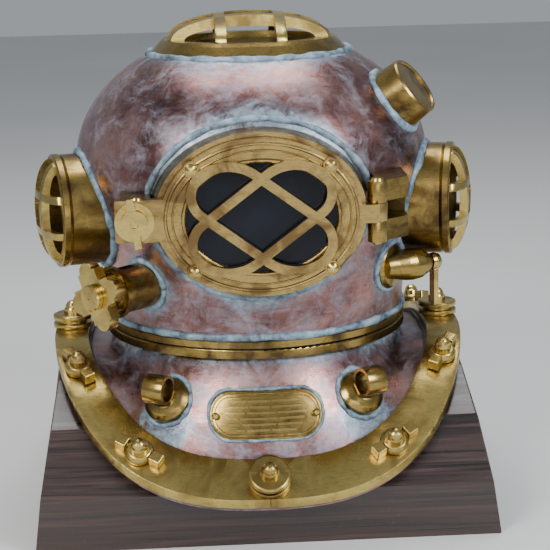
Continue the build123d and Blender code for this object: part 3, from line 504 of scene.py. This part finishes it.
# ---- crust round the fittings of the collar ---------------------------------------------
collar_skin = skin_of("breastplate_shell")
for label, side in (("left", -1), ("right", 1)):
    seat = frame_on((side * PADEYE_X, PADEYE_Y, PADEYE_Z),
                    (side * PADEYE_AXIS_X, PADEYE_AXIS_Y, PADEYE_AXIS_Z))
    outward = seat.to_3x3() @ Vector((0, 0, 1))
    ring = []
    for i in range(60):
        a = 2 * math.pi * i / 60
        start = seat @ Vector((0.0232 * math.cos(a), 0.0232 * math.sin(a), 0.05))
        ring.append(drop(collar_skin, start, -outward, 0.0003))
    tube(f"padeye_{label}_crust", [p for p in ring if p], 0.0024, "breastplate", CRUST,
         rough=0.7, scale=110.0)

plate_low, plate_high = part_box("nameplate")
plate_z = (plate_low.z + plate_high.z) / 2
plate_half, plate_rise = (plate_high.x - plate_low.x) / 2, (plate_high.z - plate_low.z) / 2
plate_skin = skin_of("nameplate")


def on_plate(skin, x, z, lift):
    """Point of the collar in front at (x, z) from the plate's middle."""
    return drop(skin, (x, -0.30, plate_z + z), (0, 1, 0), lift)


ring = [on_plate(collar_skin, x, z, 0.0003)
        for x, z in slot_outline(plate_half + 0.0012, plate_rise + 0.0012)]
tube("nameplate_crust", [p for p in ring if p], 0.0017, "breastplate", CRUST,
     rough=0.8, scale=130.0)
for label, inset, thick in (("outer", 0.0020, 0.0008), ("inner", 0.0046, 0.0005)):
    ring = [on_plate(plate_skin, x, z, 0.0)
            for x, z in slot_outline(plate_half - inset, plate_rise - inset)]
    tube(f"nameplate_{label}_border", [p for p in ring if p], thick, "breastplate", AGED,
         sides=8)


def raised_bar(name, x0, x1, z, tall, body):
    """Plain raised bar on the plate, following its curve."""
    mesh = bpy.data.meshes.new(name)
    bm = bmesh.new()
    steps = 8
    rows = []
    for i in range(steps + 1):
        x = x0 + (x1 - x0) * i / steps
        row = [on_plate(plate_skin, x, z + dz, lift)
               for dz, lift in ((-tall, -0.0002), (-tall * 0.8, 0.0005), (tall * 0.8, 0.0005),
                                (tall, -0.0002))]
        rows.append([bm.verts.new(p) for p in row])
    for first, second in zip(rows, rows[1:]):
        for k in range(3):
            bm.faces.new((first[k], second[k], second[k + 1], first[k + 1]))
        bm.faces.new((first[3], second[3], second[0], first[0]))
    bm.faces.new(rows[0])
    bm.faces.new(rows[-1][::-1])
    bmesh.ops.recalc_face_normals(bm, faces=bm.faces)
    bm.to_mesh(mesh)
    bm.free()
    smooth_by_angle(mesh)
    return new_object(name, mesh, body, BRIGHT)


for row, half in enumerate((0.030, 0.034, 0.038, 0.036, 0.034, 0.028)):
    z = 0.0120 - row * 0.0048
    breaks = [-half, -half + random.uniform(0.3, 0.7) * half, random.uniform(0.1, 0.5) * half, half]
    for part_index, (x0, x1) in enumerate(zip(breaks, breaks[1:])):
        raised_bar(f"nameplate_bar_{row}_{part_index}", x0 + 0.0008, x1 - 0.0008, z, 0.0012,
                   "breastplate")

# ---- stepped rings on the front window -------------------------------------------------
for label, wide, tall, thick in (("outer", 0.0835, 0.0647, 0.0016),
                                 ("middle", 0.0775, 0.0590, 0.0010),
                                 ("inner", 0.0680, 0.0500, 0.0020)):
    ring = [Vector((wide * math.cos(2 * math.pi * i / 120), DOOR_FACE_Y + 0.0003,
                    DOOR_Z + tall * math.sin(2 * math.pi * i / 120))) for i in range(120)]
    tube(f"door_ring_{label}_step", ring, thick, "door", AGED if label == "middle" else BRONZE,
         sides=12)

# ---- floor, light and camera ------------------------------------------------------------
floor_mesh = bpy.data.meshes.new("floor")
floor_mesh.from_pydata([(-6, -6, 0), (6, -6, 0), (6, 6, 0), (-6, 6, 0)], [], [(0, 1, 2, 3)])
floor = bpy.data.objects.new("floor", floor_mesh)
bpy.context.scene.collection.objects.link(floor)
floor_paint, floor_tree, floor_shader, floor_where = material("floor_paint")
floor_cloud = noise_node(floor_tree, floor_where, 1.5, 3.0)
floor_tree.links.new(ramp(floor_tree, floor_cloud, (0.3, (0.62, 0.62, 0.61)),
                          (0.7, (0.66, 0.66, 0.65))), floor_shader.inputs["Base Color"])
floor_shader.inputs["Roughness"].default_value = 0.7
floor_mesh.materials.append(floor_paint)

world = bpy.data.worlds.new("studio")
bpy.context.scene.world = world
world.use_nodes = True
world.node_tree.nodes["Background"].inputs["Color"].default_value = (0.80, 0.86, 0.92, 1)
world.node_tree.nodes["Background"].inputs["Strength"].default_value = 0.42


def soft_light(name, location, target, size, power, colour=(1, 1, 1)):
    """Square area light aimed at a target."""
    data = bpy.data.lights.new(name, "AREA")
    data.shape = "RECTANGLE"
    data.size, data.size_y = size
    data.energy = power
    data.color = colour
    lamp = bpy.data.objects.new(name, data)
    bpy.context.scene.collection.objects.link(lamp)
    lamp.location = location
    lamp.rotation_mode = "QUATERNION"
    lamp.rotation_quaternion = (Vector(target) - Vector(location)).to_track_quat("-Z", "Y")


centre_of_helmet = (0, 0, 0.28)
soft_light("key_left", (-1.1, -1.5, 1.35), centre_of_helmet, (0.7, 0.9), 34, (1.0, 0.98, 0.95))
soft_light("key_right", (1.2, -1.2, 1.2), centre_of_helmet, (0.6, 0.9), 27, (0.92, 0.96, 1.0))
soft_light("overhead", (0.0, 0.5, 2.0), centre_of_helmet, (1.4, 1.0), 26)
soft_light("front_fill", (0.1, -2.4, 0.5), centre_of_helmet, (1.6, 0.6), 9)

camera_data = bpy.data.cameras.new("camera")
camera_data.sensor_width = 36.0
camera_data.lens = 104.7
camera_data.clip_end = 50.0
camera = bpy.data.objects.new("camera", camera_data)
bpy.context.scene.collection.objects.link(camera)
bpy.context.scene.camera = camera
view_azimuth, view_elevation, view_roll = math.radians(-3.0), math.radians(13.0), math.radians(1.4)
back = Vector((math.sin(view_azimuth) * math.cos(view_elevation),
               -math.cos(view_azimuth) * math.cos(view_elevation), math.sin(view_elevation)))
turn_to_view = (-back).to_track_quat("-Z", "Y")
view_right = turn_to_view @ Vector((1, 0, 0))
view_up = turn_to_view @ Vector((0, 1, 0))
aim = Vector((0, 0, NECK_Z)) + view_right * 0.020 + view_up * 0.043
camera.location = aim + back * 1.6
camera.rotation_mode = "QUATERNION"
camera.rotation_quaternion = (turn_to_view.to_matrix() @ Matrix.Rotation(-view_roll, 3, "Z")
                              ).to_quaternion()
